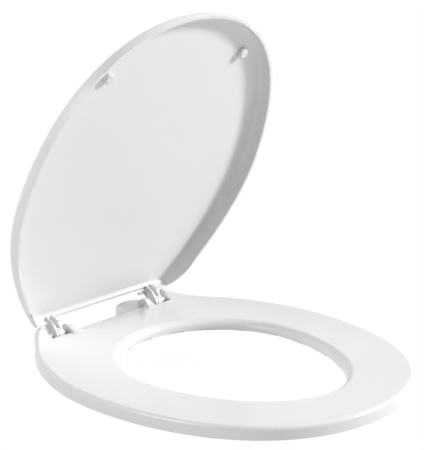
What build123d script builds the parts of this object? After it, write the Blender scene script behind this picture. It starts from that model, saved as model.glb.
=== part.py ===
from build123d import *
import math
import os

os.makedirs("parts", exist_ok=True)

# Driving dimensions, in millimetres.
# The origin is on top of the pan, midway between the two fixing holes: X to the right, -Y to the front.
bolt_pitch = 139.7            # between the two fixing holes in the pan
lid_open_angle = 67.2         # degrees from closed, as it stands
lid_full_angle = 115.0        # degrees from closed, with the ears down on the feet

# Hinge axis
pivot_y = -15.0               # the axis runs along X, this far from the line of the bolts
pivot_z = 19.0
pin_diameter = 6.0
pin_running_gap = 0.06        # radial, where a moving piece turns on the pin
pin_end_x = 99.0              # the pin's outer end, inside the shoulder
pin_end_gap = 0.5
pin_end_chamfer = 0.5
knuckle_radius = 8.5          # the seat's knuckle round the pin
shoulder_radius = 13.0        # the shoulders' round back, about the same axis
ear_radius = 7.5              # the lid's ears round the pin

# Seat ring
seat_half_width = 184.0
seat_wide_y = -189.0          # where the ring is widest
seat_front_length = 230.7     # from the widest line to the front
seat_rear_length = 227.0      # from the widest line to the pole of the rear curve
seat_front_fullness = 0.604   # handle length of the front quarter curves
seat_rear_fullness = 0.518
seat_top = 20.0               # height of the sitting face over the pan
seat_height = 15.0
seat_edge_round = 5.0
seat_wall = 3.0

# Opening in the ring
hole_half_width = 112.3
hole_wide_y = -195.9
hole_front_length = 157.4
hole_rear_length = 112.6
hole_fullness = 0.532
hole_edge_round = 9.5

# Rear of the seat: raised shoulders outside the lid's ears, knuckles inside them
rear_edge_y = -20.0           # the straight edge between the hinges
shoulder_rise = 11.6
shoulder_inner_x = 95.5
climb_slant = 22.0            # degrees that the climb to a shoulder turns outward from front to rear
climb_x = 117.0               # where the climb is measured along, at the hinge axis
# control points of the climb: the way along it, and the height over the sitting face
climb_foot = ((-26.0, 0.0), (-14.0, 0.0), (-8.0, 0.5))
climb_crest = ((-5.0, 9.5), (-2.5, shoulder_rise), (2.5, shoulder_rise))
ear_slot_inner_x = 66.0
ear_slot_reach = 10.0         # from the axis to the slots' front wall, past the closed lid's ears
knuckle_inner_x = 57.0
knuckle_blend_width = 10.0    # how far the knuckle's inner flank takes to climb, along X
knuckle_ramp_length = 12.0    # how far the knuckle runs forward into the sitting face

# Ribs and buffers under the seat
rib_thickness = 2.0
rib_count = 18
rib_setback = 3.0             # the ribs and the inner wall stop this far above the ring's lower edge
buffer_height = 5.0           # pad between the ring and the pan
buffer_radius = 8.0
buffer_stem_radius = 3.0
buffer_stem_length = 6.0
buffer_stem_gap = 0.5         # the sockets are this much deeper than the stems
buffer_boss_radius = 6.0
buffer_round = 2.0
front_buffer_x = 100.0
front_buffer_y = -341.0
rear_buffer_x = 132.0
rear_buffer_y = -114.0

# Lid, in the closed position measured from the hinge axis
lid_half_width = 183.4
lid_wide_y = -185.7
lid_front_length = 217.5
lid_rear_length = 263.4
lid_front_fullness = 0.604
lid_rear_fullness = 0.458
lid_pole_fullness = 0.218     # of the handle across the rear
lid_rear_y = -7.5             # straight rear edge
lid_gap = 1.6                 # between the closed lid's rim and the sitting face
lid_front_depth = 15.0        # outside depth over the rim at the front tip
lid_rear_depth = 22.0         # outside depth over the rim at the hinge axis
lid_wall = 3.0
lid_edge_round = 10.0
lid_corner_round = 8.0
lid_lip_height = 3.0          # low wall along the rear edge
lid_lip_reach = 6.0           # how far in from the rear edge the wall is lowered
lid_return_x = 89.0           # the full skirt ends here, beside the ears
# control points of the rim's climb over the shoulders: from the axis, and over the rim
rim_climb = ((-36.0, 0.0), (-26.0, 0.0), (-14.0, 4.6), (lid_rear_y, 9.8))

# Lid ears, buffers and stubs
ear_thickness = 2.8
ear_inner_x = 76.0            # middle of the inner ear
ear_outer_x = 84.0            # middle of the outer ear
ear_heel_y = -5.6             # middle of the round at the ears' front, measured from the axis
ear_heel_z = 7.0
ear_heel_radius = 6.0
ear_root_front_y = -13.5      # the ears' root on the panel
ear_root_rear_y = -10.1       # its end inside the lip
ear_root_rear_z = 18.9
ear_top_z = 19.5              # the ears' corner behind the lip
ear_rest_gap = 0.3            # between the ears' rear edge and the feet at the full opening
stub_radius = 2.2
stub_length = 10.0
stub_y = -4.7
stub_z = 17.0
lid_buffer_x = 103.5
lid_buffer_y = -338.0
lid_buffer_radius = 6.3
lid_buffer_height = 6.0
spigot_radius = 3.0
spigot_length = 4.0
spigot_end_gap = 0.5
lid_buffer_round = 2.0

# Hinge feet and fixings
foot_radius = 27.5
foot_offset = 4.85            # the foot's middle lies this far inward of its bolt
foot_top = 13.5
foot_edge_round = 3.0
foot_front_gap = 1.5          # between the foot's flat front and the seat's rear edge
foot_cradle_gap = 2.0         # between the knuckles and the hollow under them in the foot
eye_radius = 8.0
eye_width = 4.2
eye_root_length = 18.0        # along the top of the foot
eye_root_depth = 4.0
gasket_thickness = 1.5
gasket_inset = 1.0
gasket_hole_radius = 5.5
bolt_radius = 4.0             # plain shank, where it passes through the pan
thread_radius = 3.6           # middle of the thread's flanks below it
thread_start_z = -10.0
washer_hole_gap = 0.7
bolt_head_flats = 13.0
bolt_head_height = 4.5
bolt_head_gap = 0.15
bolt_end_z = -32.0
bolt_end_chamfer = 1.0
pan_thickness = 15.0
washer_radius = 14.0
washer_root_radius = 9.0
washer_top_radius = 7.5
washer_lip = 3.0
washer_cone = 4.0             # how far the cone reaches up into the pan's hole
thread_gap = 0.05
nut_height = 12.0
nut_hub_radius = 9.0
nut_wing_span = 36.0
nut_wing_thickness = 5.0
nut_wing_round = 4.0
nut_wing_root_height = 9.6    # where a wing leaves the hub

# Values worked out from the driving dimensions
seat_bottom = seat_top - seat_height
shoulder_top = seat_top + shoulder_rise
bolt_x = bolt_pitch / 2
foot_x = bolt_x - foot_offset
pin_radius = pin_diameter / 2
running_radius = pin_radius + pin_running_gap
knuckle_top = pivot_z + knuckle_radius
shoulder_rear_y = pivot_y + knuckle_radius
slot_front_y = pivot_y - ear_slot_reach
rim_z = seat_top + lid_gap - pivot_z
ear_gap_middle_x = (ear_inner_x + ear_outer_x) / 2
panel_inside_z = rim_z + lid_rear_depth - lid_wall
lip_z = panel_inside_z - lid_lip_height
washer_bottom_z = -pan_thickness - washer_lip
nut_wing_tip_z = washer_bottom_z - nut_height + nut_wing_round
far = 400.0                   # longer than anything here, for cuts that run right through
selection_slack = 0.01        # for picking edges by their height and walls by their direction
sides = ((-1, "left"), (1, "right"))

# The lid's own planes: its sketches are drawn as if it were closed, with the axis as origin
open_sin = math.sin(math.radians(lid_open_angle))
open_cos = math.cos(math.radians(lid_open_angle))
lid_plane = Plane(origin=(0, pivot_y, pivot_z), x_dir=(1, 0, 0), z_dir=(0, open_sin, open_cos))
lid_upward = Axis(lid_plane.origin, lid_plane.z_dir)

# Upright plane along the climb to the right shoulder
climb_sin = math.sin(math.radians(climb_slant))
climb_cos = math.cos(math.radians(climb_slant))
climb_plane = Plane(
    origin=(climb_x, pivot_y, 0),
    x_dir=(climb_sin, climb_cos, 0),
    z_dir=(climb_cos, -climb_sin, 0),
)


def lid_side(x):
    """Plane across the lid at one x: its own axes are the lid's front-to-rear and upward directions."""
    return Plane(origin=(x, pivot_y, pivot_z), x_dir=(0, open_cos, -open_sin), z_dir=(1, 0, 0))


def egg(half_width, wide_y, front, rear, front_fullness, rear_fullness, pole_fullness):
    """Egg-shaped outline of four curves that meet square to the axes."""
    front_y = wide_y - front
    rear_y = wide_y + rear
    front_handle = wide_y - front * front_fullness
    rear_handle = wide_y + rear * rear_fullness
    front_x = half_width * front_fullness
    rear_x = half_width * pole_fullness
    with BuildSketch() as shape:
        with BuildLine():
            Bezier((half_width, wide_y), (half_width, front_handle), (front_x, front_y), (0, front_y))
            Bezier((0, front_y), (-front_x, front_y), (-half_width, front_handle), (-half_width, wide_y))
            Bezier((-half_width, wide_y), (-half_width, rear_handle), (-rear_x, rear_y), (0, rear_y))
            Bezier((0, rear_y), (rear_x, rear_y), (half_width, rear_handle), (half_width, wide_y))
        make_face()
    return shape.sketch


def seat_egg(inset):
    """Outer outline of the ring, drawn in by a wall."""
    return egg(
        seat_half_width - inset,
        seat_wide_y,
        seat_front_length - inset,
        seat_rear_length - inset,
        seat_front_fullness,
        seat_rear_fullness,
        seat_rear_fullness,
    )


def hole_egg(inset):
    """Outline of the opening, let out by a wall."""
    return egg(
        hole_half_width + inset,
        hole_wide_y,
        hole_front_length + inset,
        hole_rear_length + inset,
        hole_fullness,
        hole_fullness,
        hole_fullness,
    )


def shoulder_cover(drop):
    """What lies over the ring: flat, then a slanting climb to each shoulder and a flat crest."""
    low = seat_top - drop
    high = shoulder_top - drop
    ceiling = shoulder_top + seat_height
    climb = [(along, low + height) for along, height in climb_foot + climb_crest]
    with BuildPart() as cover:
        with BuildSketch(climb_plane):
            with BuildLine():
                Line((-2 * far, low), climb[0])
                Bezier(*climb)
                Polyline(climb[-1], (far, high), (far, ceiling), (-2 * far, ceiling), (-2 * far, low))
            make_face()
        extrude(amount=2 * far, both=True)
        with BuildSketch(Plane.YZ):
            Rectangle(8 * far, 8 * far)
        extrude(amount=-4 * far, mode=Mode.SUBTRACT)
        mirror(about=Plane.YZ)
    return cover.part


def valley(end, blend_width, low, high):
    """Front view of a flat-bottomed valley with an S-shaped flank on each side."""
    start = end - blend_width
    middle = (start + end) / 2
    with BuildSketch() as shape:
        with BuildLine():
            Line((-start, low), (start, low))
            Bezier((start, low), (middle, low), (middle, high), (end, high))
            Line((end, high), (-end, high))
            Bezier((-end, high), (-middle, high), (-middle, low), (-start, low))
        make_face()
    return shape.sketch


def rear_cutaway(inset):
    """Plan of what is cut away behind the ring: the straight edge, the ear slots and the shoulders' ends."""
    outer_x = shoulder_inner_x + inset
    slot_x = ear_slot_inner_x - inset
    with BuildSketch() as shape:
        with Locations((0, rear_edge_y - inset)):
            Rectangle(2 * outer_x, far, align=(Align.CENTER, Align.MIN))
        with Locations((slot_x, slot_front_y - inset)):
            Rectangle(outer_x - slot_x, far, align=(Align.MIN, Align.MIN))
        with Locations((-slot_x, slot_front_y - inset)):
            Rectangle(outer_x - slot_x, far, align=(Align.MAX, Align.MIN))
        with Locations((0, shoulder_rear_y - inset)):
            Rectangle(2 * far, far, align=(Align.CENTER, Align.MIN))
    return shape.sketch


def is_outer_wall(face):
    """Whether a face is an upright wall of the ring's outline, and not its flat rear end."""
    return face.geom_type != GeomType.PLANE and abs(face.normal_at().Z) < selection_slack


def hole_edges(edges, height, inset):
    """The edges that run round the opening at one height."""
    level = edges.filter_by_position(Axis.Z, height - selection_slack, height + selection_slack)
    side_x = hole_half_width + inset + selection_slack
    rear_y = hole_wide_y + hole_rear_length + inset + selection_slack
    narrow = level.filter_by(lambda edge: edge.bounding_box().max.X < side_x)
    return narrow.filter_by(lambda edge: edge.bounding_box().max.Y < rear_y)


def write(piece, name):
    """Label a finished piece and write it under that name."""
    piece.part.label = name
    export_step(piece.part, f"parts/{name}.step")


# Core of the ring: the hollow under its skin
core_cover = shoulder_cover(seat_wall)
with BuildPart() as seat_core:
    with BuildSketch(Plane.XY.offset(seat_bottom)):
        add(seat_egg(seat_wall))
        add(hole_egg(seat_wall), mode=Mode.SUBTRACT)
    extrude(amount=seat_height + shoulder_rise)
    add(core_cover, mode=Mode.SUBTRACT)
    core_top = seat_top - seat_wall
    fillet(hole_edges(seat_core.edges(), core_top, seat_wall), hole_edge_round - seat_wall)
    with BuildSketch(Plane.XY):
        add(rear_cutaway(seat_wall))
    extrude(amount=far, both=True, mode=Mode.SUBTRACT)

# Ribs and buffer bosses that cross the hollow
buffer_rows = (("front", front_buffer_x, front_buffer_y), ("rear", rear_buffer_x, rear_buffer_y))
buffer_places = [(side * x, y) for side, tag in sides for row, x, y in buffer_rows]
with BuildPart() as seat_ribs:
    with BuildSketch(Plane.XY.offset(seat_bottom + rib_setback)):
        with Locations((0, hole_wide_y)):
            with PolarLocations(far / 2, rib_count, start_angle=180 / rib_count):
                Rectangle(far, rib_thickness)
    extrude(amount=far)
    with BuildSketch(Plane.XY.offset(seat_bottom)):
        with Locations(*buffer_places):
            Circle(buffer_boss_radius)
    extrude(amount=far)
    add(seat_core.part, mode=Mode.INTERSECT)

# Seat: a hollow ring, open underneath
seat_cover = shoulder_cover(0)
with BuildPart() as seat:
    with BuildSketch(Plane.XY.offset(seat_bottom)):
        add(seat_egg(0))
        with Locations((0, shoulder_rear_y)):
            Rectangle(2 * far, far, align=(Align.CENTER, Align.MIN), mode=Mode.SUBTRACT)
    extrude(amount=seat_height + shoulder_rise)
    add(seat_cover, mode=Mode.SUBTRACT)
    outer_walls = seat.faces().filter_by(is_outer_wall)
    above_floor = seat_bottom + selection_slack
    upper_edges = outer_walls.edges().filter_by(lambda edge: edge.bounding_box().min.Z > above_floor)
    fillet(upper_edges, seat_edge_round)
    with BuildSketch(Plane.XY.offset(seat_bottom)):
        add(hole_egg(0))
    extrude(amount=far, mode=Mode.SUBTRACT)
    fillet(hole_edges(seat.edges(), seat_top, 0), hole_edge_round)
    with BuildSketch(Plane.XY):
        add(rear_cutaway(0))
    extrude(amount=far, both=True, mode=Mode.SUBTRACT)
    add(seat_core.part, mode=Mode.SUBTRACT)
    add(seat_ribs.part)
    with BuildSketch(Plane.XY.offset(seat_bottom)):
        add(hole_egg(seat_wall + rib_thickness))
    extrude(amount=rib_setback, mode=Mode.SUBTRACT)
    # behind the axis the shoulders are round, and low enough under it to clear the feet as the seat lifts
    with BuildSketch(Plane.YZ):
        with Locations((pivot_y, pivot_z)):
            Rectangle(far, far, align=(Align.MIN, Align.MAX))
            Circle(knuckle_radius, mode=Mode.SUBTRACT)
    extrude(amount=far, both=True, mode=Mode.SUBTRACT)
    with BuildSketch(Plane.YZ):
        with Locations((pivot_y, pivot_z)):
            Rectangle(far, far, align=(Align.MIN, Align.MIN))
            Circle(shoulder_radius, mode=Mode.SUBTRACT)
    extrude(amount=far, both=True, mode=Mode.SUBTRACT)
    for side, tag in sides:
        with BuildSketch(Plane.YZ.offset(side * ear_slot_inner_x)):
            with Locations((pivot_y, pivot_z)):
                Circle(knuckle_radius)
            with Locations((rear_edge_y, seat_top)):
                Rectangle(knuckle_ramp_length, seat_height / 2, align=(Align.MAX, Align.MAX))
            make_hull()
        extrude(amount=-side * (ear_slot_inner_x - knuckle_inner_x + knuckle_blend_width))
    with BuildSketch(Plane.XZ):
        add(valley(knuckle_inner_x + knuckle_blend_width / 2, knuckle_blend_width, seat_top, knuckle_top))
    extrude(amount=far, both=True, mode=Mode.SUBTRACT)
    with BuildSketch(Plane.XY):
        with Locations((0, rear_edge_y)):
            Rectangle(2 * knuckle_inner_x, far, align=(Align.CENTER, Align.MIN))
    extrude(amount=far, both=True, mode=Mode.SUBTRACT)
    with BuildSketch(Plane.YZ):
        with Locations((pivot_y, pivot_z)):
            Circle(running_radius)
    extrude(amount=pin_end_x + pin_end_gap, both=True, mode=Mode.SUBTRACT)
    with BuildSketch(Plane.XY.offset(seat_bottom)):
        with Locations(*buffer_places):
            Circle(buffer_stem_radius)
    extrude(amount=buffer_stem_length + buffer_stem_gap, mode=Mode.SUBTRACT)
write(seat, "seat")

# Soft pads under the ring, each with a stem in a boss
for side, tag in sides:
    for row, x, y in buffer_rows:
        with BuildPart() as seat_buffer:
            with BuildSketch():
                with Locations((side * x, y)):
                    Circle(buffer_radius)
            extrude(amount=buffer_height)
            fillet(seat_buffer.edges().sort_by(Axis.Z)[0], buffer_round)
            with BuildSketch(Plane.XY.offset(buffer_height)):
                with Locations((side * x, y)):
                    Circle(buffer_stem_radius)
            extrude(amount=buffer_stem_length)
        write(seat_buffer, f"seat_buffer_{row}_{tag}")


def lid_outline(inset):
    """Outline of the lid, drawn in by a wall, with a straight rear edge and round corners."""
    with BuildSketch() as shape:
        add(
            egg(
                lid_half_width - inset,
                lid_wide_y,
                lid_front_length - inset,
                lid_rear_length - inset,
                lid_front_fullness,
                lid_rear_fullness,
                lid_pole_fullness,
            )
        )
        with Locations((0, lid_rear_y - inset)):
            Rectangle(2 * far, far, align=(Align.CENTER, Align.MIN), mode=Mode.SUBTRACT)
        fillet(shape.vertices().group_by(Axis.Y)[-1], lid_corner_round - inset)
    return shape.sketch


def lid_depth(y):
    """Outside depth of the lid over its rim, which grows evenly from the front to the hinge."""
    return lid_rear_depth + (lid_rear_depth - lid_front_depth) * y / (lid_front_length - lid_wide_y)


def above_lid(drop):
    """Side profile of what lies over the lid's sloping panel."""
    with BuildSketch() as shape:
        with BuildLine():
            Polyline(
                (-2 * far, rim_z + lid_depth(-2 * far) - drop),
                (far, rim_z + lid_depth(far) - drop),
                (far, far),
                (-2 * far, far),
                close=True,
            )
        make_face()
    return shape.sketch


def below_rim():
    """Side profile of what is cut from the skirt: nothing, then a climb that steepens to the rear."""
    climb = [(along, rim_z + height) for along, height in rim_climb]
    start, low = climb[0]
    end, high = climb[-1]
    with BuildSketch() as shape:
        with BuildLine():
            Bezier(*climb)
            Polyline((end, high), (far, high), (far, -far), (start, -far), (start, low))
        make_face()
    return shape.sketch


def ear_back_y(z):
    """Rear edge of the ears, which comes down flat over the feet at the lid's full opening."""
    rest_angle = math.radians(lid_full_angle - 90)
    rest_drop = pivot_z - foot_top - ear_rest_gap
    return (rest_drop - z * math.sin(rest_angle)) / math.cos(rest_angle)


# Core of the lid: the hollow of the tray
with BuildPart() as lid_core:
    with BuildSketch(lid_plane.offset(rim_z)):
        add(lid_outline(lid_wall))
    extrude(amount=2 * lid_rear_depth)
    with BuildSketch(lid_side(0)):
        add(above_lid(lid_wall))
    extrude(amount=far, both=True, mode=Mode.SUBTRACT)
    core_roof = lid_core.faces().sort_by(SortBy.AREA)[-2:].sort_by(lid_upward)[-1]
    fillet(core_roof.edges(), lid_edge_round - lid_wall)

# Lid: a shallow tray with a skirt, a low rear lip, two pairs of ears and two spigots
lid_buffer_base_z = rim_z + lid_depth(lid_buffer_y) - lid_wall
lid_buffer_tip_z = lid_buffer_base_z - lid_buffer_height
spigot_end_z = lid_buffer_base_z - spigot_length
with BuildPart() as lid:
    with BuildSketch(lid_plane.offset(rim_z)):
        add(lid_outline(0))
    extrude(amount=2 * lid_rear_depth)
    with BuildSketch(lid_side(0)):
        add(above_lid(0))
    extrude(amount=far, both=True, mode=Mode.SUBTRACT)
    lid_top = lid.faces().sort_by(SortBy.AREA)[-2:].sort_by(lid_upward)[-1]
    fillet(lid_top.edges(), lid_edge_round)
    add(lid_core.part, mode=Mode.SUBTRACT)
    # the rim climbs towards the rear corners, over the seat's shoulders
    with BuildSketch(lid_side(0)):
        add(below_rim())
    extrude(amount=far, both=True, mode=Mode.SUBTRACT)
    # between the hinges only a low lip is left of the rear wall
    with BuildSketch(lid_plane.offset(lip_z)):
        with Locations((0, lid_rear_y - lid_lip_reach)):
            Rectangle(2 * lid_return_x, far, align=(Align.CENTER, Align.MIN))
    extrude(amount=-far, mode=Mode.SUBTRACT)
    for side, tag in sides:
        for middle in (ear_inner_x, ear_outer_x):
            with BuildSketch(lid_side(side * middle)):
                Circle(ear_radius)
                with Locations((ear_heel_y, ear_heel_z)):
                    Circle(ear_heel_radius)
                make_hull()
                with BuildLine():
                    Polyline(
                        (ear_heel_y - ear_heel_radius, ear_heel_z),
                        (ear_root_front_y, panel_inside_z + lid_wall / 2),
                        (ear_root_rear_y, ear_root_rear_z),
                        (ear_back_y(ear_top_z), ear_top_z),
                        (ear_back_y(ear_heel_z), ear_heel_z),
                        close=True,
                    )
                make_face()
            extrude(amount=ear_thickness / 2, both=True)
        with BuildSketch(lid_side(side * (ear_inner_x - ear_thickness / 2 - stub_length))):
            with Locations((stub_y, stub_z)):
                Circle(stub_radius)
        extrude(amount=side * stub_length)
    with BuildSketch(lid_side(0)):
        Circle(running_radius)
    extrude(amount=pin_end_x, both=True, mode=Mode.SUBTRACT)
    with BuildSketch(lid_plane.offset(spigot_end_z)):
        with Locations((lid_buffer_x, lid_buffer_y), (-lid_buffer_x, lid_buffer_y)):
            Circle(spigot_radius)
    extrude(amount=spigot_length + lid_wall / 2)
write(lid, "lid")

# Soft caps on the lid's spigots, trimmed to its sloping inner face
for side, tag in sides:
    with BuildPart() as lid_buffer:
        with BuildSketch(lid_plane.offset(lid_buffer_tip_z)):
            with Locations((side * lid_buffer_x, lid_buffer_y)):
                Circle(lid_buffer_radius)
        extrude(amount=lid_rear_depth)
        with BuildSketch(lid_side(0)):
            add(above_lid(lid_wall))
        extrude(amount=far, both=True, mode=Mode.SUBTRACT)
        tip = lid_buffer.faces().sort_by(lid_upward)[0]
        fillet(tip.edges(), lid_buffer_round)
        with BuildSketch(lid_plane.offset(spigot_end_z - spigot_end_gap)):
            with Locations((side * lid_buffer_x, lid_buffer_y)):
                Circle(spigot_radius)
        extrude(amount=lid_rear_depth, mode=Mode.SUBTRACT)
    write(lid_buffer, f"lid_buffer_{tag}")

# Hinge feet, pins and fixings
for side, tag in sides:
    bolt_place = (side * bolt_x, 0)
    foot_place = (side * foot_x, 0)
    with BuildPart() as foot:
        with BuildSketch(Plane.XY.offset(gasket_thickness)):
            with Locations(foot_place):
                Circle(foot_radius)
        extrude(amount=foot_top - gasket_thickness)
        fillet(foot.edges().sort_by(Axis.Z)[-1], foot_edge_round)
        with BuildSketch(Plane.XY):
            with Locations((0, rear_edge_y + foot_front_gap)):
                Rectangle(2 * far, far, align=(Align.CENTER, Align.MAX))
        extrude(amount=far, mode=Mode.SUBTRACT)
        with BuildSketch(Plane.YZ):
            with Locations((pivot_y, pivot_z)):
                Circle(knuckle_radius + foot_cradle_gap)
        extrude(amount=far, both=True, mode=Mode.SUBTRACT)
        with BuildSketch(Plane.YZ.offset(side * ear_gap_middle_x)):
            with Locations((pivot_y, pivot_z)):
                Circle(eye_radius)
            with Locations((pivot_y, foot_top - foot_edge_round)):
                Rectangle(eye_root_length, eye_root_depth, align=(Align.MIN, Align.MAX))
            make_hull()
        extrude(amount=eye_width / 2, both=True)
        with BuildSketch(Plane.YZ):
            with Locations((pivot_y, pivot_z)):
                Circle(pin_radius)
        extrude(amount=far, both=True, mode=Mode.SUBTRACT)
        with BuildSketch(Plane.XY.offset(gasket_thickness)):
            with Locations(bolt_place):
                RegularPolygon(bolt_head_flats / 2 + bolt_head_gap, 6, major_radius=False)
        extrude(amount=bolt_head_height + bolt_head_gap, mode=Mode.SUBTRACT)
    write(foot, f"hinge_foot_{tag}")

    with BuildPart() as pin:
        with BuildSketch(Plane.YZ.offset(side * knuckle_inner_x)):
            with Locations((pivot_y, pivot_z)):
                Circle(pin_radius)
        extrude(amount=side * (pin_end_x - knuckle_inner_x))
        outer_end = pin.faces().sort_by(lambda face: side * face.center().X)[-1]
        chamfer(outer_end.edges(), pin_end_chamfer)
    write(pin, f"hinge_pin_{tag}")

    with BuildPart() as gasket:
        with BuildSketch():
            with Locations(foot_place):
                Circle(foot_radius - gasket_inset)
            with Locations(bolt_place):
                Circle(gasket_hole_radius, mode=Mode.SUBTRACT)
            with Locations((0, rear_edge_y + foot_front_gap + gasket_inset)):
                Rectangle(2 * far, far, align=(Align.CENTER, Align.MAX), mode=Mode.SUBTRACT)
        extrude(amount=gasket_thickness)
    write(gasket, f"foot_gasket_{tag}")

    with BuildPart() as bolt:
        with BuildSketch(Plane.XY.offset(gasket_thickness)):
            with Locations(bolt_place):
                RegularPolygon(bolt_head_flats / 2, 6, major_radius=False)
        extrude(amount=bolt_head_height)
        with BuildSketch(Plane.XY.offset(gasket_thickness)):
            with Locations(bolt_place):
                Circle(bolt_radius)
        extrude(amount=thread_start_z - gasket_thickness)
        with BuildSketch(Plane.XY.offset(thread_start_z)):
            with Locations(bolt_place):
                Circle(thread_radius)
        extrude(amount=bolt_end_z - thread_start_z)
        chamfer(bolt.edges().sort_by(Axis.Z)[0], bolt_end_chamfer)
    write(bolt, f"fixing_bolt_{tag}")

    with BuildPart() as washer:
        with BuildSketch(Plane.XZ):
            with BuildLine():
                Polyline(
                    (side * bolt_x + thread_radius + washer_hole_gap, washer_bottom_z),
                    (side * bolt_x + washer_radius, washer_bottom_z),
                    (side * bolt_x + washer_radius, -pan_thickness),
                    (side * bolt_x + washer_root_radius, -pan_thickness),
                    (side * bolt_x + washer_top_radius, washer_cone - pan_thickness),
                    (side * bolt_x + thread_radius + washer_hole_gap, washer_cone - pan_thickness),
                    close=True,
                )
            make_face()
        revolve(axis=Axis((side * bolt_x, 0, 0), (0, 0, 1)))
    write(washer, f"cone_washer_{tag}")

    with BuildPart() as nut:
        with BuildSketch(Plane.XY.offset(washer_bottom_z)):
            with Locations(bolt_place):
                Circle(nut_hub_radius)
        extrude(amount=-nut_height)
        for wing in (-1, 1):
            with BuildSketch(Plane.XZ):
                with Locations((side * bolt_x + wing * (nut_wing_span / 2 - nut_wing_round), nut_wing_tip_z)):
                    Circle(nut_wing_round)
                with Locations((side * bolt_x + wing * nut_hub_radius / 2, washer_bottom_z - nut_height / 2)):
                    Rectangle(nut_wing_round, nut_wing_root_height)
                make_hull()
            extrude(amount=nut_wing_thickness / 2, both=True)
        with BuildSketch(Plane.XY):
            with Locations(bolt_place):
                Circle(thread_radius + thread_gap)
        extrude(amount=-far, mode=Mode.SUBTRACT)
    write(nut, f"wing_nut_{tag}")
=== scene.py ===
import logging
import math
from collections.abc import Iterator
from contextlib import contextmanager
from dataclasses import dataclass, field
from enum import Enum, IntEnum
from typing import Any, Union

import bpy
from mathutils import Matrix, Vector


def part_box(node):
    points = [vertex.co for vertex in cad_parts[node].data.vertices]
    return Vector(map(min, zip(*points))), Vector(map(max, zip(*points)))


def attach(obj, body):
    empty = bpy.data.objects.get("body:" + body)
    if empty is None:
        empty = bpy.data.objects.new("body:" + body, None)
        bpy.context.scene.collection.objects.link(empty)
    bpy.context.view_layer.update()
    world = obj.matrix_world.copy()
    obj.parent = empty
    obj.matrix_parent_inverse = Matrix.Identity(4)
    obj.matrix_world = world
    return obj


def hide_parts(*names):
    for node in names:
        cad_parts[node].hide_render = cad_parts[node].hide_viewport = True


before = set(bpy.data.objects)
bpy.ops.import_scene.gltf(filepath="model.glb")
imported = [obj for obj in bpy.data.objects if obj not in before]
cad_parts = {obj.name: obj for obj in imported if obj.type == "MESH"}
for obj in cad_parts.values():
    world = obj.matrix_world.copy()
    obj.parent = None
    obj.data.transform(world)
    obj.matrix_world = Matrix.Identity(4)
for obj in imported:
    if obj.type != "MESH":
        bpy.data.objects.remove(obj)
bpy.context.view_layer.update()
LOG = logging.getLogger("toilet_seat")

Colour = tuple[float, float, float]
Value = Union["Term", float]

# Lengths are in metres, and the angles of fields are in degrees.
METRE = 1.0
MM = 0.001
JOIN_DISTANCE = 0.005 * MM


class Body(Enum):
    """The rigid bodies that pieces ride on."""

    MOUNTING = "mounting"
    SEAT = "seat"
    LID = "lid"


class Slot(Enum):
    """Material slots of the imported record."""

    WHITE_PLASTIC = "white_plastic"
    SOFT_WHITE = "soft_white"
    SOFT_GREY = "soft_grey"
    NYLON = "nylon"


class Side(Enum):
    """Left and right half of the object."""

    LEFT = "left"
    RIGHT = "right"


class MixSocket(IntEnum):
    """Sockets of a Mix node that mixes colours, by number: one output and three inputs."""

    RESULT = 2
    FACTOR = 0
    LOW = 6
    HIGH = 7


def opaque(colour: Colour) -> tuple[float, float, float, float]:
    """The colour with full alpha."""
    return (*colour, 1.0)


class Term:
    """A value that varies over a surface: one output socket, whose operators add Math nodes."""

    def __init__(self, shader: "Shader", socket: bpy.types.NodeSocket) -> None:
        """Keep the socket and the shader it belongs to.

        Args:
            shader: the shader whose tree holds the socket.
            socket: the output to wrap.
        """
        self.shader = shader
        self.socket = socket

    def _math(self, operation: str, first: Value, second: Value) -> "Term":
        """Add one Math node.

        Args:
            operation: the node's operation.
            first: its first value.
            second: its second value.

        Returns:
            The node's result.
        """
        return self.shader.node("ShaderNodeMath", {"operation": operation}, {0: first, 1: second})

    def __add__(self, other: Value) -> "Term":
        """This plus other."""
        return self._math("ADD", self, other)

    __radd__ = __add__

    def __mul__(self, other: Value) -> "Term":
        """This times other."""
        return self._math("MULTIPLY", self, other)

    __rmul__ = __mul__

    def at_most(self, other: Value) -> "Term":
        """The lower of this and other."""
        return self._math("MINIMUM", self, other)


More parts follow.
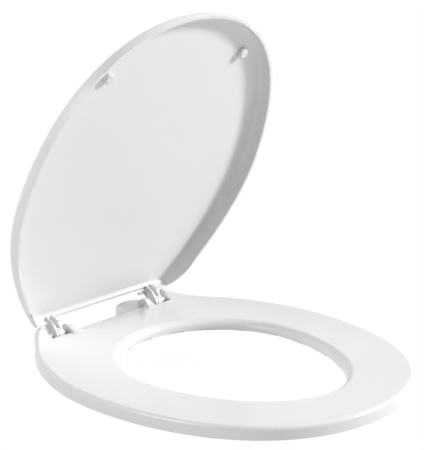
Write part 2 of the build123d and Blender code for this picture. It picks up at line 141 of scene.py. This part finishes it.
class Shader:
    """The node tree of one material or of the world."""

    def __init__(self, tree: bpy.types.NodeTree) -> None:
        """Start with an empty tree.

        Args:
            tree: the tree to fill.
        """
        self.tree = tree
        self.tree.nodes.clear()

    def node(
        self,
        kind: str,
        settings: dict[str, Any] | None = None,
        sockets: dict[str | int, Any] | None = None,
        output: str | int = 0,
    ) -> Term | None:
        """Add any node.

        Args:
            kind: the node's type.
            settings: its properties, set first.
            sockets: values or links of its inputs, by name or number.
            output: which of its outputs to give back.

        Returns:
            That output, or nothing for a node without outputs.
        """
        made = self.tree.nodes.new(kind)
        for key, value in (settings or {}).items():
            setattr(made, key, value)
        for key, value in (sockets or {}).items():
            if isinstance(value, Term):
                self.tree.links.new(value.socket, made.inputs[key])
            else:
                made.inputs[key].default_value = value
        return Term(self, made.outputs[output]) if len(made.outputs) else None

    def noise(self, scale: float, detail: float) -> Term:
        """Soft noise on the object's own coordinates.

        Args:
            scale: features per metre.
            detail: octaves.

        Returns:
            The noise, about 0 to 1.
        """
        place = self.node("ShaderNodeTexCoord", output="Object")
        sockets = {"Vector": place, "Scale": scale, "Detail": detail}
        return self.node("ShaderNodeTexNoise", sockets=sockets)

    def between(self, factor: Term, low: Colour, high: Colour) -> Term:
        """A colour between two.

        Args:
            factor: 0 for low and 1 for high.
            low: the first colour.
            high: the second colour.

        Returns:
            The mixed colour.
        """
        sockets = {
            MixSocket.FACTOR: factor,
            MixSocket.LOW: opaque(low),
            MixSocket.HIGH: opaque(high),
        }
        return self.node("ShaderNodeMix", {"data_type": "RGBA"}, sockets, MixSocket.RESULT)

    def seen_directly(self) -> Term:
        """1 for camera, glossy and transmission rays, and 0 for the rest.

        Returns:
            That share.
        """
        camera = self.node("ShaderNodeLightPath", output="Is Camera Ray")
        glossy = self.node("ShaderNodeLightPath", output="Is Glossy Ray")
        through = self.node("ShaderNodeLightPath", output="Is Transmission Ray")
        return (camera + glossy + through).at_most(1.0)


@dataclass(frozen=True)
class MouldedFinish:
    """A moulded skin: clouded colour and gloss, with the mould's faint ripple and fine grain."""

    name: str
    slot: Slot
    pale: Colour
    deep: Colour
    roughness: float
    roughness_spread: float
    cloud_scale: float
    ripple_scale: float
    ripple_height: float
    grain_scale: float
    grain_height: float
    strength: float
    ior: float = 1.49
    cloud_detail: float = 3.0
    ripple_detail: float = 1.0
    grain_detail: float = 2.0

    def material(self) -> bpy.types.Material:
        """Make the material.

        Returns:
            A new material, or the one made before for this finish.
        """
        known = bpy.data.materials.get(self.name)
        if known is not None:
            return known
        made = bpy.data.materials.new(self.name)
        made.use_nodes = True
        shader = Shader(made.node_tree)
        cloud = shader.noise(self.cloud_scale, self.cloud_detail)
        ripple = shader.noise(self.ripple_scale, self.ripple_detail) * self.ripple_height
        grain = shader.noise(self.grain_scale, self.grain_detail) * self.grain_height
        relief = {"Height": grain + ripple, "Distance": METRE, "Strength": self.strength}
        glossiest = self.roughness - self.roughness_spread / 2
        sockets = {
            "Base Color": shader.between(cloud, self.deep, self.pale),
            "Roughness": cloud * self.roughness_spread + glossiest,
            "IOR": self.ior,
            "Normal": shader.node("ShaderNodeBump", sockets=relief),
        }
        surface = shader.node("ShaderNodeBsdfPrincipled", sockets=sockets)
        shader.node("ShaderNodeOutputMaterial", sockets={"Surface": surface})
        return made

    def dress(self, piece: bpy.types.Object) -> None:
        """Give a piece this finish.

        Args:
            piece: the piece to dress.
        """
        piece.data.materials.clear()
        piece.data.materials.append(self.material())
        LOG.info("%s dressed in %s", piece.name, self.name)


GLOSSY_WHITE = MouldedFinish(
    name="glossy_white_plastic",
    slot=Slot.WHITE_PLASTIC,
    pale=(0.83, 0.83, 0.83),
    deep=(0.80, 0.80, 0.802),
    roughness=0.22,
    roughness_spread=0.06,
    cloud_scale=9.0,
    ripple_scale=110.0,
    ripple_height=0.006 * MM,
    grain_scale=900.0,
    grain_height=0.002 * MM,
    strength=0.8,
)
SOFT_PAD = MouldedFinish(
    name="soft_white_pad",
    slot=Slot.SOFT_WHITE,
    pale=(0.80, 0.80, 0.79),
    deep=(0.74, 0.74, 0.73),
    roughness=0.48,
    roughness_spread=0.12,
    cloud_scale=60.0,
    ripple_scale=300.0,
    ripple_height=0.006 * MM,
    grain_scale=2400.0,
    grain_height=0.004 * MM,
    strength=0.9,
)
GREY_RUBBER = MouldedFinish(
    name="grey_rubber",
    slot=Slot.SOFT_GREY,
    pale=(0.33, 0.33, 0.33),
    deep=(0.22, 0.22, 0.225),
    roughness=0.62,
    roughness_spread=0.16,
    cloud_scale=80.0,
    ripple_scale=350.0,
    ripple_height=0.01 * MM,
    grain_scale=2600.0,
    grain_height=0.008 * MM,
    strength=1.0,
)
NYLON = MouldedFinish(
    name="satin_nylon",
    slot=Slot.NYLON,
    pale=(0.80, 0.80, 0.79),
    deep=(0.74, 0.74, 0.73),
    roughness=0.4,
    roughness_spread=0.12,
    cloud_scale=70.0,
    ripple_scale=260.0,
    ripple_height=0.008 * MM,
    grain_scale=2000.0,
    grain_height=0.004 * MM,
    strength=0.9,
)


def take_up(piece: bpy.types.Object) -> None:
    """Select one piece and nothing else.

    Args:
        piece: the object to work on.
    """
    bpy.ops.object.select_all(action="DESELECT")
    piece.select_set(True)
    bpy.context.view_layer.objects.active = piece


@contextmanager
def editing() -> Iterator[None]:
    """Keep the active piece in edit mode for a while.

    Yields:
        Nothing, once edit mode is on.
    """
    bpy.ops.object.mode_set(mode="EDIT")
    yield
    bpy.ops.object.mode_set(mode="OBJECT")


def select_facing(piece: bpy.types.Object, direction: Vector, least_cosine: float = 0.99) -> None:
    """Select the faces of a piece that look one way.

    Args:
        piece: the active object, in object mode.
        direction: the way the faces look.
        least_cosine: how closely they have to look that way.
    """
    for edge in piece.data.edges:
        edge.select = False
    for vertex in piece.data.vertices:
        vertex.select = False
    for face in piece.data.polygons:
        face.select = face.normal.dot(direction) > least_cosine


def cut_level(height: float, keep_above: bool) -> None:
    """Cut the mesh that is being edited level, and close the cut.

    Args:
        height: where the cut goes.
        keep_above: whether the part above the cut stays, or the part below it.
    """
    bpy.ops.mesh.select_all(action="SELECT")
    bpy.ops.mesh.bisect(
        plane_co=(0, 0, height),
        plane_no=(0, 0, 1),
        use_fill=True,
        clear_inner=keep_above,
        clear_outer=not keep_above,
    )


@dataclass(frozen=True)
class Moulding:
    """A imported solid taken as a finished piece: its facets joined up and its sharp edges eased."""

    node: str
    body: Body
    finish: MouldedFinish
    edge_ease: float = 0.0
    ease_segments: int = 2
    crease_angle: float = 38.0
    flat_angle: float = 0.5

    def build(self) -> None:
        """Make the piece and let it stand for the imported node."""
        piece = self.take_skin()
        if self.edge_ease > 0:
            self.ease_edges(piece)
        self.finish_skin(piece)

    def take_skin(self) -> bpy.types.Object:
        """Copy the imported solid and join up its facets.

        Returns:
            The copy, active and in object mode.
        """
        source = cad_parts[self.node]
        piece = bpy.data.objects.new(f"{self.node}_skin", source.data.copy())
        bpy.context.scene.collection.objects.link(piece)
        take_up(piece)
        with editing():
            bpy.ops.mesh.select_all(action="SELECT")
            bpy.ops.mesh.remove_doubles(threshold=JOIN_DISTANCE)
        return piece

    def ease_edges(self, piece: bpy.types.Object) -> None:
        """Round the sharp edges a little, as a mould leaves them.

        Args:
            piece: the active object, in object mode.
        """
        with editing():
            bpy.ops.mesh.dissolve_limited(angle_limit=math.radians(self.flat_angle))
        ease = piece.modifiers.new("eased_edges", "BEVEL")
        ease.width = self.edge_ease
        ease.segments = self.ease_segments
        ease.limit_method = "ANGLE"
        ease.angle_limit = math.radians(self.crease_angle)
        bpy.ops.object.modifier_apply(modifier=ease.name)

    def finish_skin(self, piece: bpy.types.Object) -> None:
        """Smooth the piece, dress it and put it in the node's place.

        Args:
            piece: the active object, in object mode.
        """
        bpy.ops.object.shade_smooth_by_angle(angle=math.radians(self.crease_angle))
        flats = piece.modifiers.new("true_flats", "WEIGHTED_NORMAL")
        flats.keep_sharp = True
        bpy.ops.object.modifier_apply(modifier=flats.name)
        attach(piece, self.body.value)
        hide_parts(self.node)
        self.finish.dress(piece)


@dataclass
class SeatRing:
    """The ring and the four pads under it."""

    finish: MouldedFinish = GLOSSY_WHITE
    pad_finish: MouldedFinish = SOFT_PAD
    pad_ease: float = 0.6 * MM
    lip_angle: float = 110.0
    top_face_z: float = 0.5
    inner_face_z: float = 0.05

    def build(self) -> None:
        """Make the ring's skin and its pads."""
        ring = Moulding("seat", Body.SEAT, self.finish)
        skin = ring.take_skin()
        self.cover_slits(skin)
        ring.finish_skin(skin)
        for side in Side:
            for row in ("front", "rear"):
                node = f"seat_buffer_{row}_{side.value}"
                Moulding(node, Body.SEAT, self.pad_finish, self.pad_ease).build()

    def cover_slits(self, piece: bpy.types.Object) -> None:
        """Cover the thin slit that the hollow leaves in the round of each rear shoulder.

        Args:
            piece: the active object, in object mode.
        """
        lips = self.slit_lips(piece)
        if not lips:
            return
        with editing():
            bpy.ops.mesh.select_mode(type="EDGE")
            bpy.ops.mesh.select_all(action="DESELECT")
        for edge in piece.data.edges:
            edge.select = tuple(sorted(edge.vertices)) in lips
        with editing():
            bpy.ops.mesh.fill()
        covers = [face for face in piece.data.polygons if face.select]
        LOG.info("%d lips of slits covered by %d faces", len(lips), len(covers))
        for face in covers:
            if face.normal.z < 0:
                face.flip()
        with editing():
            bpy.ops.mesh.select_mode(type="VERT")

    def slit_lips(self, piece: bpy.types.Object) -> set[tuple[int, int]]:
        """Find the edges where the skin of a rear shoulder meets the hollow under it.

        Args:
            piece: the ring's skin.

        Returns:
            The vertex pairs of those edges.
        """
        meeting: dict[tuple[int, int], list[Vector]] = {}
        for face in piece.data.polygons:
            for key in face.edge_keys:
                meeting.setdefault(key, []).append(face.normal)
        lips = set()
        for key, normals in meeting.items():
            inner = min(normals, key=lambda normal: normal.z)
            outer = max(normals, key=lambda normal: normal.z)
            turned = inner.dot(outer) < math.cos(math.radians(self.lip_angle))
            if turned and outer.z > self.top_face_z and inner.z < self.inner_face_z:
                lips.add(key)
        return lips


@dataclass
class Lid:
    """The lid and the two pads inside it."""

    finish: MouldedFinish = GLOSSY_WHITE
    pad_finish: MouldedFinish = SOFT_PAD
    pad_ease: float = 0.6 * MM

    def build(self) -> None:
        """Make the lid's skin and its pads."""
        Moulding("lid", Body.LID, self.finish).build()
        for side in Side:
            node = f"lid_buffer_{side.value}"
            Moulding(node, Body.LID, self.pad_finish, self.pad_ease).build()


@dataclass
class HingeFoot:
    """One foot with its pin and the gasket under it."""

    side: Side
    finish: MouldedFinish = GLOSSY_WHITE
    pin_finish: MouldedFinish = NYLON
    gasket_finish: MouldedFinish = GREY_RUBBER
    foot_ease: float = 0.4 * MM
    pin_ease: float = 0.0
    gasket_ease: float = 0.25 * MM

    def build(self) -> None:
        """Make the foot, its pin and its gasket."""
        rows = (
            ("hinge_foot", self.finish, self.foot_ease),
            ("hinge_pin", self.pin_finish, self.pin_ease),
            ("foot_gasket", self.gasket_finish, self.gasket_ease),
        )
        for name, finish, ease in rows:
            Moulding(f"{name}_{self.side.value}", Body.MOUNTING, finish, ease).build()


@dataclass
class PanFixings:
    """The bolts, washers and wing nuts that hold the feet down on the pan."""

    finish: MouldedFinish = NYLON
    washer_finish: MouldedFinish = GREY_RUBBER
    nut_ease: float = 0.6 * MM
    washer_ease: float = 0.4 * MM
    head_sides: int = 6
    head_flats: float = 13.0 * MM
    head_height: float = 4.5 * MM
    head_ease: float = 0.5 * MM
    head_segments: int = 3
    shank_radius: float = 4.0 * MM
    shank_length: float = 11.5 * MM
    shank_ease: float = 0.3 * MM
    shank_segments: int = 2
    shank_sides: int = 64
    crest_radius: float = 3.95 * MM
    root_radius: float = 3.3 * MM
    pitch: float = 1.25 * MM
    flank_share: float = 0.36
    turn_steps: int = 40
    spare_turns: int = 2
    lap: float = 0.4 * MM
    crease_angle: float = 32.0

    def build(self) -> None:
        """Model one bolt, copy it to both sides, and finish the washers and nuts."""
        low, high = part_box(f"fixing_bolt_{Side.RIGHT.value}")
        pattern = self.model_bolt(low.z, high.z)
        rows = (
            ("cone_washer", self.washer_finish, self.washer_ease),
            ("wing_nut", self.finish, self.nut_ease),
        )
        for side in Side:
            self.fit_bolt(pattern, side)
            for name, finish, ease in rows:
                Moulding(f"{name}_{side.value}", Body.MOUNTING, finish, ease).build()
        bpy.data.objects.remove(pattern)

    def model_bolt(self, bottom: float, top: float) -> bpy.types.Object:
        """Model a bolt on the Z axis.

        Args:
            bottom: height of its end.
            top: height of its head's top.

        Returns:
            The bolt, as one object.
        """
        head_bottom = top - self.head_height
        shank_bottom = head_bottom - self.shank_length
        thread = self.turn_thread(bottom, shank_bottom + self.lap)
        shank = self.turn_shank(shank_bottom, head_bottom + self.lap)
        head = self.shape_head(head_bottom, top)
        take_up(head)
        thread.select_set(True)
        shank.select_set(True)
        bpy.ops.object.join()
        bpy.ops.object.transform_apply(location=True, rotation=True, scale=True)
        bpy.ops.object.shade_smooth_by_angle(angle=math.radians(self.crease_angle))
        return bpy.context.object

    def shape_head(self, bottom: float, top: float) -> bpy.types.Object:
        """Shape the hexagonal head.

        Args:
            bottom: height of its underside.
            top: height of its top.

        Returns:
            The head.
        """
        half_side = math.pi / self.head_sides
        bpy.ops.mesh.primitive_cylinder_add(
            vertices=self.head_sides,
            radius=self.head_flats / 2 / math.cos(half_side),
            depth=top - bottom,
            location=(0, 0, (top + bottom) / 2),
            rotation=(0, 0, half_side),
        )
        head = bpy.context.object
        with editing():
            bpy.ops.mesh.select_all(action="SELECT")
            bpy.ops.mesh.bevel(offset=self.head_ease, segments=self.head_segments)
        return head

    def turn_shank(self, bottom: float, top: float) -> bpy.types.Object:
        """Turn the plain shank, eased at its lower end.

        Args:
            bottom: height of its lower end.
            top: height of its upper end, inside the head.

        Returns:
            The shank.
        """
        bpy.ops.mesh.primitive_cylinder_add(
            vertices=self.shank_sides,
            radius=self.shank_radius,
            depth=top - bottom,
            location=(0, 0, (top + bottom) / 2),
        )
        shank = bpy.context.object
        select_facing(shank, Vector((0, 0, -1)))
        with editing():
            bpy.ops.mesh.bevel(offset=self.shank_ease, segments=self.shank_segments)
        return shank

    def turn_thread(self, bottom: float, top: float) -> bpy.types.Object:
        """Turn the thread: one tooth's profile wound upward, then cut flat at both ends.

        Args:
            bottom: height of the bolt's end.
            top: height of the thread's upper end, inside the shank.

        Returns:
            The threaded length.
        """
        bpy.ops.mesh.primitive_plane_add(size=self.pitch)
        thread = bpy.context.object
        depth = self.crest_radius - self.root_radius
        flank = self.pitch * self.flank_share
        flat = self.pitch / 2 - flank
        tooth = ((depth, 0, flank), (0, 0, flat), (-depth, 0, flank), (0, 0, flat))
        with editing():
            bpy.ops.mesh.merge(type="CENTER")
            bpy.ops.transform.translate(value=(self.root_radius, 0, bottom - self.pitch))
            for step in tooth:
                bpy.ops.mesh.extrude_vertices_move(TRANSFORM_OT_translate={"value": step})
        wind = thread.modifiers.new("wound_tooth", "SCREW")
        wind.screw_offset = self.pitch
        wind.iterations = math.ceil((top - bottom) / self.pitch) + self.spare_turns
        wind.steps = self.turn_steps
        wind.render_steps = self.turn_steps
        bpy.ops.object.modifier_apply(modifier=wind.name)
        with editing():
            bpy.ops.mesh.select_all(action="SELECT")
            bpy.ops.mesh.remove_doubles(threshold=JOIN_DISTANCE)
            cut_level(top, keep_above=False)
            cut_level(bottom, keep_above=True)
            bpy.ops.mesh.select_all(action="SELECT")
            bpy.ops.mesh.normals_make_consistent(inside=False)
        return thread

    def fit_bolt(self, pattern: bpy.types.Object, side: Side) -> None:
        """Copy the bolt to one side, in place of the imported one.

        Args:
            pattern: the bolt on the Z axis.
            side: where the copy goes.
        """
        node = f"fixing_bolt_{side.value}"
        low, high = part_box(node)
        take_up(pattern)
        bpy.ops.object.duplicate()
        bolt = bpy.context.object
        bolt.name = f"threaded_bolt_{side.value}"
        bpy.ops.transform.translate(value=((low.x + high.x) / 2, (low.y + high.y) / 2, 0))
        bpy.ops.object.transform_apply(location=True, rotation=True, scale=True)
        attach(bolt, Body.MOUNTING.value)
        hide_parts(node)
        self.finish.dress(bolt)


@dataclass(frozen=True)
class Softbox:
    """A square area lamp that faces the object."""

    name: str
    azimuth: float
    elevation: float
    size: float
    power: float
    distance: float = 5.0

    def build(self, target: Vector) -> None:
        """Add the lamp.

        Args:
            target: the point it faces.
        """
        turn = math.radians(self.azimuth)
        rise = math.radians(self.elevation)
        level = math.cos(rise)
        back = Vector((math.sin(turn) * level, -math.cos(turn) * level, math.sin(rise)))
        bpy.ops.object.light_add(type="AREA", location=target + back * self.distance)
        lamp = bpy.context.object
        lamp.name = self.name
        lamp.rotation_euler = (-back).to_track_quat("-Z", "Y").to_euler()
        lamp.data.size = self.size
        lamp.data.energy = self.power
        LOG.info("%s: %.1f W", self.name, self.power)


@dataclass
class Studio:
    """White floor, soft light and the photograph's camera."""

    eye: Vector = field(default_factory=lambda: Vector((-1.2562, -1.3609, 0.6574)))
    target: Vector = field(default_factory=lambda: Vector((0.0069, -0.1776, 0.1631)))
    lens: float = 131.29
    sensor_width: float = 36.0
    view_depth: float = 60.0
    floor_z: float = -0.0415
    floor_size: float = 24.0
    floor_colour: Colour = (0.72, 0.72, 0.72)
    floor_white: float = 0.97
    floor_glow: float = 1.02
    sky_colour: Colour = (1.0, 1.0, 1.0)
    ambient: float = 0.17
    lamps: tuple[Softbox, ...] = (
        Softbox("key_softbox", azimuth=48.0, elevation=25.0, size=0.9, power=248.0),
        Softbox("left_softbox", azimuth=-101.0, elevation=32.0, size=2.7, power=118.0),
        Softbox("front_softbox", azimuth=15.0, elevation=60.0, size=2.0, power=18.0),
        Softbox("rear_softbox", azimuth=-140.0, elevation=40.0, size=2.7, power=20.0),
    )

    def build(self) -> None:
        """Set up the floor, the world, the lamps and the camera."""
        self.lay_floor()
        self.light_world()
        for lamp in self.lamps:
            lamp.build(self.target)
        self.place_camera()
        bpy.context.scene.view_settings.view_transform = "Standard"

    def lay_floor(self) -> None:
        """Add the floor: nearly white to the eye, with the object's shadow left in it."""
        bpy.ops.mesh.primitive_plane_add(size=self.floor_size, location=(0, 0, self.floor_z))
        floor = bpy.context.object
        floor.name = "floor"
        made = bpy.data.materials.new("pale_floor")
        made.use_nodes = True
        shader = Shader(made.node_tree)
        paint = shader.node("ShaderNodeBsdfDiffuse", sockets={"Color": opaque(self.floor_colour)})
        glow = shader.node("ShaderNodeEmission", sockets={"Strength": self.floor_glow})
        share = shader.seen_directly() * self.floor_white
        surface = shader.node("ShaderNodeMixShader", sockets={0: share, 1: paint, 2: glow})
        shader.node("ShaderNodeOutputMaterial", sockets={"Surface": surface})
        floor.data.materials.append(made)

    def light_world(self) -> None:
        """Make the world white to the eye and an even, dimmer light on the object."""
        world = bpy.data.worlds.new("white_room")
        bpy.context.scene.world = world
        world.use_nodes = True
        shader = Shader(world.node_tree)
        strength = shader.seen_directly() * (1.0 - self.ambient) + self.ambient
        sockets = {"Color": opaque(self.sky_colour), "Strength": strength}
        sky = shader.node("ShaderNodeBackground", sockets=sockets)
        shader.node("ShaderNodeOutputWorld", sockets={"Surface": sky})

    def place_camera(self) -> None:
        """Stand the camera where the photograph was taken."""
        bpy.ops.object.camera_add(location=self.eye)
        camera = bpy.context.object
        camera.rotation_euler = (self.target - self.eye).to_track_quat("-Z", "Y").to_euler()
        camera.data.lens = self.lens
        camera.data.sensor_width = self.sensor_width
        camera.data.clip_end = self.view_depth
        bpy.context.scene.camera = camera


def main() -> None:
    """Build and dress every piece, then light it."""
    logging.basicConfig(level=logging.INFO)
    SeatRing().build()
    Lid().build()
    for side in Side:
        HingeFoot(side).build()
    PanFixings().build()
    Studio().build()


if __name__ == "__main__":
    main()
